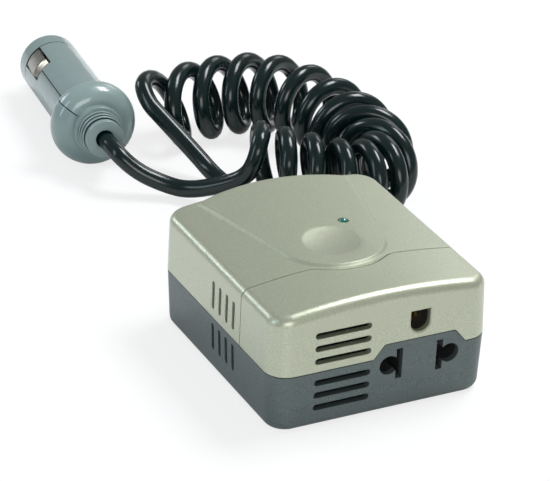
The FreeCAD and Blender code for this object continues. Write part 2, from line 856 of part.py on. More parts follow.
def heat_sink():
    plate = box(sink_x - sink_plate, sink_x, sink_front_y, sink_back_y, board_top, board_top + sink_height)
    pitch = (sink_back_y - sink_front_y - fin_thickness) / (fin_count - 1)
    for index in range(fin_count):
        y = sink_front_y + index * pitch
        plate = plate.fuse(box(sink_x - sink_plate - fin_length, sink_x - sink_plate, y, y + fin_thickness,
                               board_top, board_top + sink_height))
    return plate.removeSplitter()


def power_transistor():
    """Plastic body on a metal tab with three legs, standing at the origin with its back towards -X."""
    half = transistor_width / 2
    top = transistor_leg + transistor_height
    tab_low = top - transistor_tab_height
    body = box(0, transistor_thickness, -half, half, transistor_leg, tab_low)
    tab = box(0, transistor_tab, -half, half, tab_low, top)
    tab = tab.cut(rod(tab_hole_radius, Vec(-1, 0, top - transistor_tab_height / 2), X_AXIS, 4))
    part = body.fuse(tab)
    for index in (-1, 0, 1):
        part = part.fuse(centred_box(leg_setback, index * transistor_leg_pitch, leg_thickness / 2,
                                     leg_width / 2, 0, transistor_leg + 0.1))
    return part.removeSplitter()


def sink_transistors():
    group = []
    for y in sink_transistor_y:
        group.append(power_transistor().translated(Vec(sink_x, y, board_top)))
    return Part.makeCompound(group)


def bridge_transistors():
    group = []
    for x in bridge_transistor_x:
        part = power_transistor()
        part.rotate(Vec(0, 0, 0), Z_AXIS, 90)
        part.translate(Vec(x, bridge_transistor_y, board_top))
        group.append(part)
    return Part.makeCompound(group)


def capacitor_group():
    group = []
    first = board_front_y + can_front_inset
    last = board_back_y - can_back_inset
    for index, height in enumerate(can_heights):
        y = first + (last - first) * index / (len(can_heights) - 1)
        can = rod(can_radius, Vec(can_x, y, board_top), Z_AXIS, height)
        group.append(bevel_edges(can, can_bevel, lambda edge: edge.BoundBox.ZMin > board_top + 1))
    return Part.makeCompound(group)


def control_chip():
    raised = board_top + chip_lift
    chip = centred_box(chip_x, chip_y, chip_length / 2, chip_width / 2, raised, raised + chip_height)
    for index in range(chip_legs):
        x = chip_x + (index - (chip_legs - 1) / 2) * chip_leg_pitch
        for side in (-1, 1):
            near = chip_y + side * chip_width / 2
            chip = chip.fuse(box(x - chip_leg / 2, x + chip_leg / 2, near, near + side * chip_leg,
                                 board_top, raised + chip_height / 2))
    return chip


def surface_height(x):
    """Height of the raised tongue's surface at one place across the case."""
    radius = (half_width ** 2 + crown_drop ** 2) / (2 * crown_drop)
    return crown_height - radius + math.sqrt((radius + tongue_rise) ** 2 - x ** 2)


def power_light():
    surface = surface_height(light_x)
    flange_z = surface - tongue_rise - wall - light_flange_height - light_clearance
    foot = Vec(light_x, light_y, flange_z)
    dome = Vec(light_x, light_y, surface + light_stand - light_radius)
    light = rod(light_flange_radius, foot, Z_AXIS, light_flange_height)
    light = light.fuse(rod(light_radius, foot, Z_AXIS, dome.z - flange_z))
    light = light.fuse(Part.makeSphere(light_radius, dome))
    half = light_leg / 2
    for side in (-1, 1):
        light = light.fuse(centred_box(light_x + side * light_leg_spacing, light_y, half, half,
                                       board_top, flange_z + half))
    return light.removeSplitter()


def revolved(profile, base, direction):
    """Solid of revolution: profile of (station, radius) pairs turned about an axis."""
    points = [Vec(radius, 0, station) for station, radius in profile]
    face = Part.Face(Part.makePolygon(points + [points[0]]))
    solid = face.revolve(Vec(0, 0, 0), Z_AXIS, 360)
    turn = FreeCAD.Rotation(Z_AXIS, direction)
    solid.Placement = FreeCAD.Placement(base, turn)
    return solid


def groove_cutters(first, pitch, count, width, depth, radius_at):
    """Ring grooves as (station, radius) profiles, each at one place along a tapering sleeve."""
    cutters = []
    for index in range(count):
        station = first + index * pitch
        end = station + width
        outer = radius_at(station) + 1
        inner = radius_at(station) - depth
        cutters.append([(station, inner), (end, inner), (end, outer), (station, outer)])
    return cutters


def cable_grommet():
    back_face = half_depth - (parting_height - grommet_height) * tan(lower_draft)
    inner_face = back_face - wall
    base = Vec(grommet_x, 0, grommet_height)
    clip = inner_face - 0.25
    flange = half_depth + 0.05
    root = flange + grommet_flange_thickness
    end = half_depth + grommet_reach
    tail = clip - grommet_clip_thickness
    profile = [(tail, 0), (tail, grommet_neck_radius - 0.8),
               (clip - 0.4, grommet_flange_radius - 0.3), (clip, grommet_flange_radius - 0.3),
               (clip, grommet_neck_radius), (flange, grommet_neck_radius), (flange, grommet_flange_radius),
               (root - 0.5, grommet_flange_radius), (root, grommet_flange_radius - 0.5),
               (root, grommet_root_radius), (end, grommet_end_radius), (end, 0)]
    sleeve = revolved(profile, base, Y_AXIS)

    slope = (grommet_root_radius - grommet_end_radius) / (end - root)

    def radius_at(station):
        return grommet_end_radius + slope * (end - station)

    pitch = (end - root) / (grommet_groove_count + 1)
    for cutter in groove_cutters(root + pitch * 0.7, pitch, grommet_groove_count, grommet_groove_width,
                                 grommet_groove_depth, radius_at):
        sleeve = sleeve.cut(revolved(cutter, base, Y_AXIS))
    socket = Vec(grommet_x, end - cord_depth_in_grommet, grommet_height)
    sleeve = sleeve.cut(rod(wire_radius + cord_clearance, socket, Y_AXIS, cord_depth_in_grommet + 1))
    for side in (-1, 1):
        start = Vec(grommet_x + side * conductor_spacing / 2, 0, grommet_height)
        sleeve = sleeve.cut(rod(conductor_radius + conductor_gap, start, Y_AXIS, end))
    return sleeve


def input_wires():
    wires = []
    start_y = half_depth + grommet_reach - cord_depth_in_grommet
    bend_y = half_depth - wall - grommet_clip_thickness - 0.9
    drop = grommet_height - board_top - conductor_bend
    for side in (-1, 1):
        x = grommet_x + side * conductor_spacing / 2
        start = Vec(x, start_y, grommet_height)
        turn = Vec(x, bend_y, grommet_height)
        centre = turn - Vec(0, 0, conductor_bend)
        middle = centre + Vec(0, -sin(45), sin(45)) * conductor_bend
        down = centre - Vec(0, conductor_bend, 0)
        edges = [line(start, turn), arc(turn, middle, down)]
        if drop > 0.01:
            edges.append(line(down, down - Vec(0, 0, drop)))
        wires.append(tube(edges, conductor_radius))
    return Part.makeCompound(wires)


def output_wires():
    wires = []
    tail_end = insulator_front + insulator_face + contact_seat + contact_length + tail_length
    bend = output_wire_bend
    height = socket_height - contact_grip - contact_sheet - output_wire_radius - contact_gap - bend
    for side in (-1, 1):
        x = socket_x + side * pin_spacing / 2
        foot = Vec(x, tail_end + bend - 0.2, board_top)
        knee = Vec(x, foot.y, height)
        centre = knee - Vec(0, bend, 0)
        middle = centre + Vec(0, sin(45), sin(45)) * bend
        top = centre + Vec(0, 0, bend)
        end = top - Vec(0, output_wire_lap, 0)
        wires.append(tube([line(foot, knee), arc(knee, middle, top), line(top, end)], output_wire_radius))
    return Part.makeCompound(wires)


# Cord

def tube(edges, radius, sides=0):
    """Tube swept along joined lines and arcs, round or with a number of flat sides."""
    path = Part.Wire(edges)
    start = edges[0].valueAt(edges[0].FirstParameter)
    direction = edges[0].tangentAt(edges[0].FirstParameter)
    if sides:
        across = direction.cross(Z_AXIS).normalize()
        upward = across.cross(direction)
        corners = []
        for index in range(sides + 1):
            angle = 360.0 * index / sides
            corners.append(start + (across * cos(angle) + upward * sin(angle)) * radius)
        ring = Part.makePolygon(corners)
    else:
        ring = Part.Wire(Part.Circle(start, direction, radius).toShape())
    return path.makePipeShell([ring], True, False)


def lead_edges(points):
    """Straight runs joined by tangent arcs, each as large as its two runs allow."""
    edges = []
    radii = []
    previous = points[0]
    for before, corner, after in zip(points, points[1:], points[2:]):
        inward = corner - before
        outward = after - corner
        shorter = min(inward.Length, outward.Length)
        turn = inward.getAngle(outward)
        cut_back = 0.45 * shorter
        radius = cut_back / math.tan(turn / 2)
        start = corner - inward.normalize() * cut_back
        end = corner + outward.normalize() * cut_back
        bisector = (outward - inward).normalize()
        centre = corner + bisector * math.hypot(radius, cut_back)
        middle = centre - bisector * radius
        edges.append(line(previous, start))
        edges.append(arc(start, middle, end))
        radii.append(round(radius, 1))
        previous = end
    edges.append(line(previous, points[-1]))
    return edges, radii


def lead(points, name):
    edges, radii = lead_edges(points)
    solid = tube(edges, wire_radius)
    length = sum(edge.Length for edge in edges)
    share = solid.Volume / (math.pi * wire_radius ** 2 * length)
    print(name, "length", round(length, 1), "radii", radii, "volume share", round(share, 5))
    return solid, length


def station_at(turns):
    """Loop middle, facing and lean at one point of the coil, on a smooth curve through the plan."""
    last = len(curl_stations) - 1
    place = turns / curl_turns * (last - 1)
    index = min(int(place), last - 2)
    share = place - index
    first = curl_stations[index]
    second = curl_stations[index + 1]
    third = curl_stations[index + 2]
    values = []
    for one, two, three in zip(first, second, third):
        begin = one if index == 0 else (one + two) / 2
        end = three if index == last - 2 else (two + three) / 2
        values.append((1 - share) ** 2 * begin + 2 * share * (1 - share) * two + share ** 2 * end)
    return values


def curl_point(turns):
    """Point on the middle line of the curled cord after some number of turns."""
    x, y, facing, lean = station_at(turns)
    angle = curl_start_angle + 360 * turns
    ahead = Vec(cos(facing), sin(facing), 0)
    outward = Vec(sin(facing), -cos(facing), 0)
    upward = Z_AXIS * cos(lean) + ahead * sin(lean)
    middle = Vec(x, y, wire_radius + curl_radius * cos(lean))
    return middle + (outward * cos(angle) + upward * sin(angle)) * curl_radius


def curl_direction(turns):
    step = 0.0005
    return (curl_point(turns + step) - curl_point(turns - step)).normalize()


def tangent_arc(start, direction, end):
    """Arc that leaves the start along a direction and passes through the end."""
    chord = end - start
    across = chord - direction * chord.dot(direction)
    radius = chord.dot(chord) / (2 * across.Length)
    normal = across.normalize()
    centre = start + normal * radius
    middle = centre + ((start - centre) + (end - centre)).normalize() * radius
    return arc(start, middle, end)


def biarc(start, leave, end, arrive):
    """Two tangent arcs between two points with given directions."""
    chord = end - start
    along = chord.dot(leave + arrive)
    spread = 2 * (1 - leave.dot(arrive))
    if spread < 1e-9:
        reach = chord.Length / 2
    else:
        reach = (-along + math.sqrt(along ** 2 + spread * chord.dot(chord))) / spread
    joint = (start + leave * reach + end - arrive * reach) * 0.5
    first = tangent_arc(start, leave, joint)
    last = tangent_arc(end, arrive * -1, joint)
    flipped = Part.Arc(joint, last.valueAt((last.FirstParameter + last.LastParameter) / 2), end).toShape()
    return [first, flipped]


def least_gap(points):
    """Least distance between turns of the coil, surface to surface, on points along it."""
    least = 1000.0
    per_turn = curl_steps_per_turn
    skip = per_turn // 2
    for index, point in enumerate(points):
        for other in points[index + skip:index + 2 * per_turn]:
            least = min(least, point.distanceToPoint(other))
    return least - cord_diameter


def cord_coil():
    span = curl_last - curl_first
    quarters = int(round(span * 4))
    marks = [curl_first + span * index / quarters for index in range(quarters + 1)]
    entry = Vec(*curl_entry)
    leave = Vec(*curl_exit)
    start_direction = (entry - Vec(*curl_entry_corner)).normalize()
    end_direction = (Vec(*curl_exit_corner) - leave).normalize()
    points = [entry] + [curl_point(mark) for mark in marks] + [leave]
    directions = [start_direction] + [curl_direction(mark) for mark in marks] + [end_direction]
    start = entry - start_direction * cord_diameter
    end = leave + end_direction * cord_diameter
    edges = [line(start, entry)]
    for index in range(len(points) - 1):
        edges += biarc(points[index], directions[index], points[index + 1], directions[index + 1])
    edges.append(line(leave, end))
    steps = int(span * curl_steps_per_turn)
    fine = [curl_point(curl_first + span * index / steps) for index in range(steps + 1)]
    length = sum(edge.Length for edge in edges)
    solid = tube(edges, wire_radius, curl_sides)
    section = curl_sides / 2 * wire_radius ** 2 * sin(360 / curl_sides)
    print("coil least gap", round(least_gap(fine), 2), "length", round(length, 1),
          "volume share", round(solid.Volume / (section * length), 5))
    return solid, start, end, length


# Plug

plug_tilt = math.degrees(math.atan((flange_radius - barrel_radius) / plug_length))
plug_axis = Vec(sin(plug_yaw) * cos(plug_tilt), cos(plug_yaw) * cos(plug_tilt), -sin(plug_tilt))
plug_base = Vec(plug_x, plug_y, flange_radius * cos(plug_tilt) + floor_lift)
plug_side = Z_AXIS.cross(plug_axis).normalize()
plug_up = plug_axis.cross(plug_side).normalize()
split_direction = plug_side * cos(split_angle) + plug_up * sin(split_angle)
plug_turn = FreeCAD.Rotation(split_direction, plug_axis.cross(split_direction), plug_axis, "ZXY")
plug_placement = FreeCAD.Placement(plug_base, plug_turn)
nose_start = plug_length - nose_length
window_start = nose_start - window_length
barrel_bore = barrel_radius - shell_wall
neck_end = nose_start + neck_length


def in_plug(solid):
    """Puts a solid drawn along Z, with the split line along X, in its place on the plug."""
    placed = solid.copy()
    placed.Placement = plug_placement.multiply(placed.Placement)
    return placed


def turned(profile):
    points = [Vec(radius, 0, station) for station, radius in profile]
    return Part.Face(Part.makePolygon(points + [points[0]])).revolve(Vec(0, 0, 0), Z_AXIS, 360)


def turned_pieces(pieces):
    """Turned solid whose outline is given as lines (two points) and arcs (three points)."""
    edges = []
    for piece in pieces:
        points = [Vec(radius, 0, station) for station, radius in piece]
        edges.append(line(*points) if len(points) == 2 else arc(*points))
    return Part.Face(Part.Wire(edges)).revolve(Vec(0, 0, 0), Z_AXIS, 360)


def outline(points):
    """Straight pieces through a run of points."""
    return [[start, end] for start, end in zip(points, points[1:])]


def sector(inner, outer, low, high, half_angle, middle_angle):
    """Part of a ring between two radii, centred on one angle about the plug's axis."""
    face = Part.Face(Part.makePolygon([Vec(inner, 0, low), Vec(outer, 0, low), Vec(outer, 0, high),
                                       Vec(inner, 0, high), Vec(inner, 0, low)]))
    face.rotate(Vec(0, 0, 0), Z_AXIS, middle_angle - half_angle)
    return face.revolve(Vec(0, 0, 0), Z_AXIS, 2 * half_angle)


def plug_shell_form():
    """Outside of barrel and flange as one turned form, bored for the fuse."""
    ledge = barrel_bore - bore_ledge
    head_seat = relief_root - relief_head
    relief_bore = relief_radius + relief_fit
    dome_foot = (-flange_front, collar_radius + 1.2)
    rim = (0.0, flange_radius)
    heel = (flange_back, barrel_radius + 0.6)
    barrel_start = (flange_back + 0.6, barrel_radius)
    pieces = [[dome_foot, (-0.72 * flange_front, flange_radius - 1.8), rim],
              [rim, (0.68 * flange_back, flange_radius - 1.05), heel],
              [heel, (flange_back + 0.18, barrel_radius + 0.18), barrel_start]]
    pieces += outline([barrel_start, (nose_start, barrel_radius), (nose_start, neck_radius),
                       (neck_end, neck_radius), (neck_end, ledge), (nose_start - 0.8, ledge),
                       (nose_start - 1.6, barrel_bore), (head_seat, barrel_bore), (head_seat, relief_bore),
                       (-flange_front, relief_bore), dome_foot])
    form = turned_pieces(pieces)
    for middle in (0, 180):
        form = form.cut(sector(barrel_bore - 2, barrel_radius + 2, window_start, nose_start,
                               window_half_angle, middle))
    return form


def plug_shells():
    form = plug_shell_form()
    reach = 2 * plug_length
    upper = form.common(box(-reach, reach, 0, reach, -reach, reach))
    lower = form.common(box(-reach, reach, -reach, 0, -reach, reach))
    return upper, lower


def plug_nose_cap():
    inner = neck_radius + neck_clearance
    hole = tip_radius + tip_clearance
    rounding = nose_round * (1 - sin(45))
    shoulder = (plug_length - nose_round, barrel_radius)
    front = (plug_length, barrel_radius - nose_round)
    pieces = outline([(nose_start, inner), (nose_start, barrel_radius), shoulder])
    pieces += [[shoulder, (plug_length - rounding, barrel_radius - rounding), front]]
    pieces += outline([front, (plug_length, hole), (plug_length - cap_end_wall, hole),
                       (plug_length - cap_end_wall, inner), (nose_start, inner)])
    return turned_pieces(pieces)


def plug_tip_contact():
    flange_end = plug_length - cap_end_wall - tip_gap
    flange_start = flange_end - tip_flange_thickness
    top = plug_length + tip_reach
    dome = (tip_radius ** 2 + tip_dome ** 2) / (2 * tip_dome)
    half_way = top - dome + math.sqrt(dome ** 2 - (tip_radius / 2) ** 2)
    edge = (top - tip_dome, tip_radius)
    pieces = outline([(top, 0), (flange_start, 0), (flange_start, tip_flange_radius),
                      (flange_end, tip_flange_radius), (flange_end, tip_radius), edge])
    pieces += [[edge, (half_way, tip_radius / 2), (top, 0)]]
    return turned_pieces(pieces)


fuse_end = plug_length - cap_end_wall - tip_gap - tip_flange_thickness
fuse_start = fuse_end - fuse_length


def plug_fuse():
    glass = fuse_radius - 0.25
    profile = [(fuse_start, 0), (fuse_start, fuse_radius), (fuse_start + fuse_cap_length, fuse_radius),
               (fuse_start + fuse_cap_length, glass), (fuse_end - fuse_cap_length, glass),
               (fuse_end - fuse_cap_length, fuse_radius), (fuse_end, fuse_radius), (fuse_end, 0)]
    return turned(profile)


def spring_edges(start_z, end_z, radius, turns):
    """Helix of biarcs along Z, one joint every quarter turn."""
    steps = turns * 4
    pitch = (end_z - start_z) / turns
    slope = Vec(0, radius * 2 * math.pi, pitch).normalize()
    edges = []
    points = []
    directions = []
    for index in range(steps + 1):
        angle = 90.0 * index
        points.append(Vec(radius * cos(angle), radius * sin(angle), start_z + pitch * index / 4))
        directions.append(Vec(-sin(angle) * slope.y, cos(angle) * slope.y, slope.z))
    for index in range(steps):
        edges += biarc(points[index], directions[index], points[index + 1], directions[index + 1])
    return edges


def plug_spring():
    """Coil spring drawn at its pressed length, standing on its cup."""
    top = fuse_start - tip_travel - 0.1
    cup_floor = relief_root + 0.2
    cup_top = cup_floor + spring_seat
    cup_radius = barrel_bore - relief_fit
    cup = turned([(cup_floor, 0), (cup_floor, cup_radius), (cup_top, cup_radius), (cup_top, 0)])
    start = cup_top + spring_wire_radius - 0.1
    coil = tube(spring_edges(start, top - spring_wire_radius, spring_radius, spring_turns),
                spring_wire_radius, spring_sides)
    return cup.fuse(coil)


def side_contact(middle):
    """Curved spring leaf that stands out through the window of the barrel."""
    front = nose_start - leaf_root_gap
    back = front - leaf_length
    root = barrel_radius - 0.15
    crest = barrel_radius + leaf_rise
    tail = barrel_bore - leaf_tail
    profile = [(front, tail), (front, root), (back + 1.6, crest), (back + 0.6, crest - 0.2),
               (back, barrel_radius - 0.9), (back + leaf_sheet, barrel_radius - 1.1),
               (back + 1.1, crest - 0.75), (back + 1.7, crest - leaf_sheet),
               (front - leaf_sheet, root - leaf_sheet), (front - leaf_sheet, tail)]
    points = [Vec(radius, 0, station) for station, radius in profile]
    face = Part.Face(Part.makePolygon(points + [points[0]]))
    face.rotate(Vec(0, 0, 0), Z_AXIS, middle - leaf_half_angle)
    return face.revolve(Vec(0, 0, 0), Z_AXIS, 2 * leaf_half_angle)


def plug_strain_relief():
    root = relief_root + relief_fit
    head = relief_root - relief_head + 0.05
    slope = (relief_radius - relief_end_radius) / (relief_end - flange_front)
    bore = wire_radius + cord_clearance
    seat = -flange_front - 0.05
    collar = -flange_front - collar_length
    profile = [(root, bore), (root, relief_head_radius), (head, relief_head_radius), (head, relief_radius),
               (seat, relief_radius), (seat, collar_radius), (collar + collar_bevel, collar_radius),
               (collar, collar_radius - collar_bevel), (collar, relief_radius),
               (-relief_end + relief_bevel, relief_end_radius),
               (-relief_end, relief_end_radius - relief_bevel), (-relief_end, bore)]
    sleeve = turned(profile)

    def radius_at(station):
        return relief_end_radius + slope * (station + relief_end)

    pitch = (relief_end - flange_front - collar_length - 1.8) / relief_groove_count
    for cutter in groove_cutters(-relief_end + 2.0, pitch, relief_groove_count, relief_groove_width,
                                 relief_groove_depth, radius_at):
        sleeve = sleeve.cut(turned(cutter))
    return sleeve


# Everything is built and written from here on

save(lower_shell(), "lower_shell")
covers = upper_shell()
front_cover = covers.common(seam_region(0))
rear_cover = covers.cut(seam_region(seam_gap))
save(front_cover, "front_cover")
save(rear_cover, "rear_cover")
save(case_screws(), "case_screws")
save(socket_insulator(), "socket_insulator")
save(pole_contact(-1), "left_contact")
save(pole_contact(1), "right_contact")
save(earth_contact(), "earth_contact")
save(circuit_board(), "circuit_board")
save(board_screws(), "board_screws")
save(transformer_core(), "transformer_core")
save(transformer_bobbin(), "transformer_bobbin")
save(transformer_winding(), "transformer_winding")
save(heat_sink(), "heat_sink")
save(sink_transistors(), "sink_transistors")
save(bridge_transistors(), "bridge_transistors")
save(capacitor_group(), "capacitors")
save(control_chip(), "control_chip")
save(power_light(), "power_light")
save(cable_grommet(), "cable_grommet")
save(input_wires(), "input_wires")
save(output_wires(), "output_wires")

upper_half, lower_half = plug_shells()
save(in_plug(upper_half), "plug_shell_upper")
save(in_plug(lower_half), "plug_shell_lower")
save(in_plug(plug_nose_cap()), "plug_nose_cap")
save(in_plug(plug_tip_contact()), "plug_tip_contact")
save(in_plug(plug_fuse()), "plug_fuse")
save(in_plug(plug_spring()), "plug_spring")
save(in_plug(side_contact(0)), "plug_side_contact_left")
save(in_plug(side_contact(180)), "plug_side_contact_right")
save(in_plug(plug_strain_relief()), "plug_strain_relief")

coil, coil_start, coil_end, coil_length = cord_coil()
save(coil, "cord_coil")
case_points = [Vec(grommet_x, half_depth + grommet_reach - cord_depth_in_grommet, grommet_height)]
case_points += [Vec(*point) for point in case_lead_points + (curl_exit_corner,)]
case_points.append(coil_end)
case_lead, case_lead_length = lead(case_points, "case lead")
save(case_lead, "cord_case_lead")
plug_points = [plug_base + plug_axis * (relief_root - 1.5)]
plug_points.append(plug_base - plug_axis * (relief_end + plug_exit_run))
plug_points += [Vec(*point) for point in plug_lead_points + (curl_entry_corner,)]
plug_points.append(coil_start)
plug_lead, plug_lead_length = lead(plug_points, "plug lead")
save(plug_lead, "cord_plug_lead")
print("cord length in all", round(coil_length + case_lead_length + plug_lead_length, 1))
print("plug axis", plug_axis, "plug base", plug_base, "split", split_direction)
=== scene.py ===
import math

import bmesh
import bpy
from mathutils import Matrix, Vector
from mathutils.bvhtree import BVHTree


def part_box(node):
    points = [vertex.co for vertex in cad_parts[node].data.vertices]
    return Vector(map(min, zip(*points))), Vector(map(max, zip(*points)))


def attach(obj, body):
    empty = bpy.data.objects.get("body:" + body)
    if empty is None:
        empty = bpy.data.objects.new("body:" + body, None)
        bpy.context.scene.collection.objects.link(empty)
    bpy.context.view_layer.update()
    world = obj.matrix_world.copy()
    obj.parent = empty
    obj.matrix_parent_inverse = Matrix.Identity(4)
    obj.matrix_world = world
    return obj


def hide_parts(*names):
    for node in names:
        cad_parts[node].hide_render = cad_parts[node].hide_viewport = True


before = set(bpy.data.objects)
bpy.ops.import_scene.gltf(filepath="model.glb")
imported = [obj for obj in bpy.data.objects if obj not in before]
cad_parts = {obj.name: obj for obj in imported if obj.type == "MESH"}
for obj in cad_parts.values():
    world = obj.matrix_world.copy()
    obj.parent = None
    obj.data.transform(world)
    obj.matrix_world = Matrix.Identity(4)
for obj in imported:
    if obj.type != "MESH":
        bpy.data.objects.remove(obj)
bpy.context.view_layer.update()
scene = bpy.context.scene


# Camera and light
# A long lens looks down on the front of the case from the left, over a pale table. A broad light
# hangs over the right side, and weaker ones fill the far right, the front, the left and the back.
camera_place = Vector((-0.352566, -0.671015, 0.427550))
camera_aim = Vector((0.39844, 0.79403, -0.45908))
camera_roll = math.radians(1.8092)
camera_lens = 196.36
camera_sensor_width = 36
nearest_seen = 0.01
farthest_seen = 20
world_strength = 0.30
object_middle = (0.0, 0.05, 0.0)

aim_right = camera_aim.cross(Vector((0, 0, 1))).normalized()
aim_up = aim_right.cross(camera_aim)
view_right = aim_right * math.cos(camera_roll) + aim_up * math.sin(camera_roll)
view_up = aim_up * math.cos(camera_roll) - aim_right * math.sin(camera_roll)
camera_data = bpy.data.cameras.new("camera")
camera_data.lens = camera_lens
camera_data.sensor_width = camera_sensor_width
camera_data.clip_start = nearest_seen
camera_data.clip_end = farthest_seen
camera = bpy.data.objects.new("camera", camera_data)
camera_turn = Matrix((view_right, view_up, -camera_aim.normalized())).transposed()
camera.matrix_world = Matrix.Translation(camera_place) @ camera_turn.to_4x4()
scene.collection.objects.link(camera)
scene.camera = camera
scene.view_settings.view_transform = "Standard"


def lamp(name, place, target, width, height, watts, colour):
    """Soft rectangular lamp that faces a target."""
    data = bpy.data.lights.new(name, "AREA")
    data.shape = "RECTANGLE"
    data.size = width
    data.size_y = height
    data.energy = watts
    data.color = colour
    lamp_object = bpy.data.objects.new(name, data)
    lamp_object.location = place
    aim = Vector(target) - Vector(place)
    lamp_object.rotation_euler = aim.to_track_quat("-Z", "Y").to_euler()
    scene.collection.objects.link(lamp_object)


lamp("overhead_lamp", place=(0.45, 0.10, 0.85), target=object_middle,
     width=0.45, height=0.3, watts=7.6, colour=(0.95, 0.98, 1.0))
lamp("right_lamp", place=(0.85, 0.75, 0.60), target=(0.0, 0.02, 0.0),
     width=0.45, height=0.35, watts=1.2, colour=(0.97, 0.99, 1.0))
lamp("front_lamp", place=(-0.35, -1.0, 0.5), target=object_middle,
     width=0.6, height=0.5, watts=5.0, colour=(0.97, 0.99, 1.0))
lamp("left_lamp", place=(-1.0, 0.1, 0.5), target=object_middle,
     width=0.16, height=0.7, watts=2.2, colour=(0.72, 0.88, 1.0))
lamp("far_lamp", place=(-0.55, 0.95, 0.46), target=object_middle,
     width=0.35, height=0.25, watts=2.0, colour=(0.82, 0.92, 1.0))

scene.world = bpy.data.worlds.new("studio")
scene.world.use_nodes = True
world_light = scene.world.node_tree.nodes["Background"]
world_light.inputs["Color"].default_value = (1, 1, 1, 1)
world_light.inputs["Strength"].default_value = world_strength


# Finish maker
# Every finish is a small set of shader nodes. A socket is wrapped so that shader maths can be
# written as plain sums, and any node is made by one call that takes its sockets and settings.
class Sum:
    """A node's socket that can be added, multiplied and compared like a number."""

    def __init__(self, maker, socket):
        self.maker = maker
        self.socket = socket

    def _with(self, operation, first, second):
        node = self.maker.node("ShaderNodeMath", {0: first, 1: second}, operation=operation)
        return Sum(self.maker, node.outputs[0])

    def __add__(self, other):
        return self._with("ADD", self, other)

    def __sub__(self, other):
        return self._with("SUBTRACT", self, other)

    def __rsub__(self, other):
        return self._with("SUBTRACT", other, self)

    def __mul__(self, other):
        return self._with("MULTIPLY", self, other)

    def below(self, limit):
        """One where the value lies under a limit, and nought elsewhere."""
        return self._with("LESS_THAN", self, limit)


class Maker:
    """Adds nodes to a node tree and fills their sockets."""

    def __init__(self, tree):
        self.tree = tree

    def fill(self, node, sockets):
        """Gives each socket of a node a plain value, or links it to another node."""
        for key, value in sockets.items():
            if isinstance(value, Sum):
                value = value.socket
            if isinstance(value, bpy.types.NodeSocket):
                self.tree.links.new(value, node.inputs[key])
            else:
                node.inputs[key].default_value = value

    def node(self, kind, sockets={}, **settings):
        """Adds a node of a kind, with its sockets filled and its settings made."""
        node = self.tree.nodes.new(kind)
        for key, value in settings.items():
            setattr(node, key, value)
        self.fill(node, sockets)
        return node


class Finish(Maker):
    """One material with its shader, and helpers for the textures that it uses."""

    flake_scale = 4000
    flake_contrast = 2.5
    noise_middle = 0.5
    edge_samples = 6
    # A mixing node has sockets for every kind of value, and these are the ones for colours.
    mix_first = 6
    mix_second = 7
    mix_outcome = 2

    def __init__(self, name, sockets, slot=None):
        self.material = bpy.data.materials.new(name)
        self.material.use_nodes = True
        super().__init__(self.material.node_tree)
        self.slot = slot or name
        self.shader = self.tree.nodes["Principled BSDF"]
        self.place = self.node("ShaderNodeTexCoord").outputs["Object"]
        self.looks(sockets)

    def looks(self, sockets):
        """Sets the shader's own sockets."""
        self.fill(self.shader, sockets)

    def noise(self, scale, detail):
        sockets = {"Vector": self.place, "Scale": scale, "Detail": detail}
        return Sum(self, self.node("ShaderNodeTexNoise", sockets).outputs["Fac"])

    def uneven(self, least, spread, scale, detail):
        """Value that wanders upwards from its least one over the surface."""
        return self.noise(scale, detail) * spread + least

    def distance(self, origin, direction):
        """How far a point of the surface lies from an origin, measured along a direction."""
        along = self.node("ShaderNodeVectorMath", {0: self.place, 1: tuple(direction)},
                          operation="DOT_PRODUCT")
        return Sum(self, along.outputs["Value"]) - Vector(origin).dot(Vector(direction))

    def blend(self, amount, first, second):
        """Colour between two others, each given as numbers or as the outcome of another blend."""
        sockets = {0: amount}
        for key, end in ((self.mix_first, first), (self.mix_second, second)):
            sockets[key] = end if isinstance(end, bpy.types.NodeSocket) else (*end, 1)
        return self.node("ShaderNodeMix", sockets, data_type="RGBA").outputs[self.mix_outcome]

    def mottled(self, first, second, scale, detail):
        """Colour that wanders between two others over the surface."""
        return self.blend(self.noise(scale, detail), first, second)

    def sparkle(self, dark, light):
        """Fine flakes in the paint, mixed from two colours with little between them."""
        flakes = (self.noise(self.flake_scale, detail=1) - self.noise_middle) * self.flake_contrast
        return self.blend(flakes + self.noise_middle, dark, light)

    def relief(self, depth, scale, detail, edge_round=0.0):
        """Uneven surface. An edge radius also shades sharp edges as if they were rounded."""
        sockets = {"Height": self.noise(scale, detail), "Distance": depth}
        if edge_round:
            rounded = self.node("ShaderNodeBevel", {"Radius": edge_round},
                                samples=self.edge_samples)
            sockets["Normal"] = rounded.outputs["Normal"]
        self.looks({"Normal": self.node("ShaderNodeBump", sockets).outputs["Normal"]})


# Table
# A smooth white table top, seamless to the horizon. It keeps the soft shadow of the object and is
# lifted towards plain white where the camera sees it, and a little where a gloss does.
table_reach = 4.0
table_glow = 0.76
gloss_share = 0.2
table_mesh = bpy.data.meshes.new("table")
table_mesh.from_pydata([(-table_reach, -table_reach, 0), (table_reach, -table_reach, 0),
                        (table_reach, table_reach, 0), (-table_reach, table_reach, 0)],
                       [], [(0, 1, 2, 3)])
table = bpy.data.objects.new("table", table_mesh)
scene.collection.objects.link(table)
table_finish = Finish("table_white", {
    "Base Color": (0.9, 0.9, 0.9, 1), "Roughness": 0.55, "Specular IOR Level": 0.2})
light_path = table_finish.node("ShaderNodeLightPath")
by_camera, by_gloss = (Sum(table_finish, light_path.outputs[kind])
                       for kind in ("Is Camera Ray", "Is Glossy Ray"))
glow = table_finish.node("ShaderNodeEmission", {"Color": (1, 1, 1, 1), "Strength": 1.0})
lifted = table_finish.node("ShaderNodeMixShader", {
    0: (by_camera + by_gloss * gloss_share) * table_glow, 1: table_finish.shader.outputs[0],
    2: glow.outputs[0]})
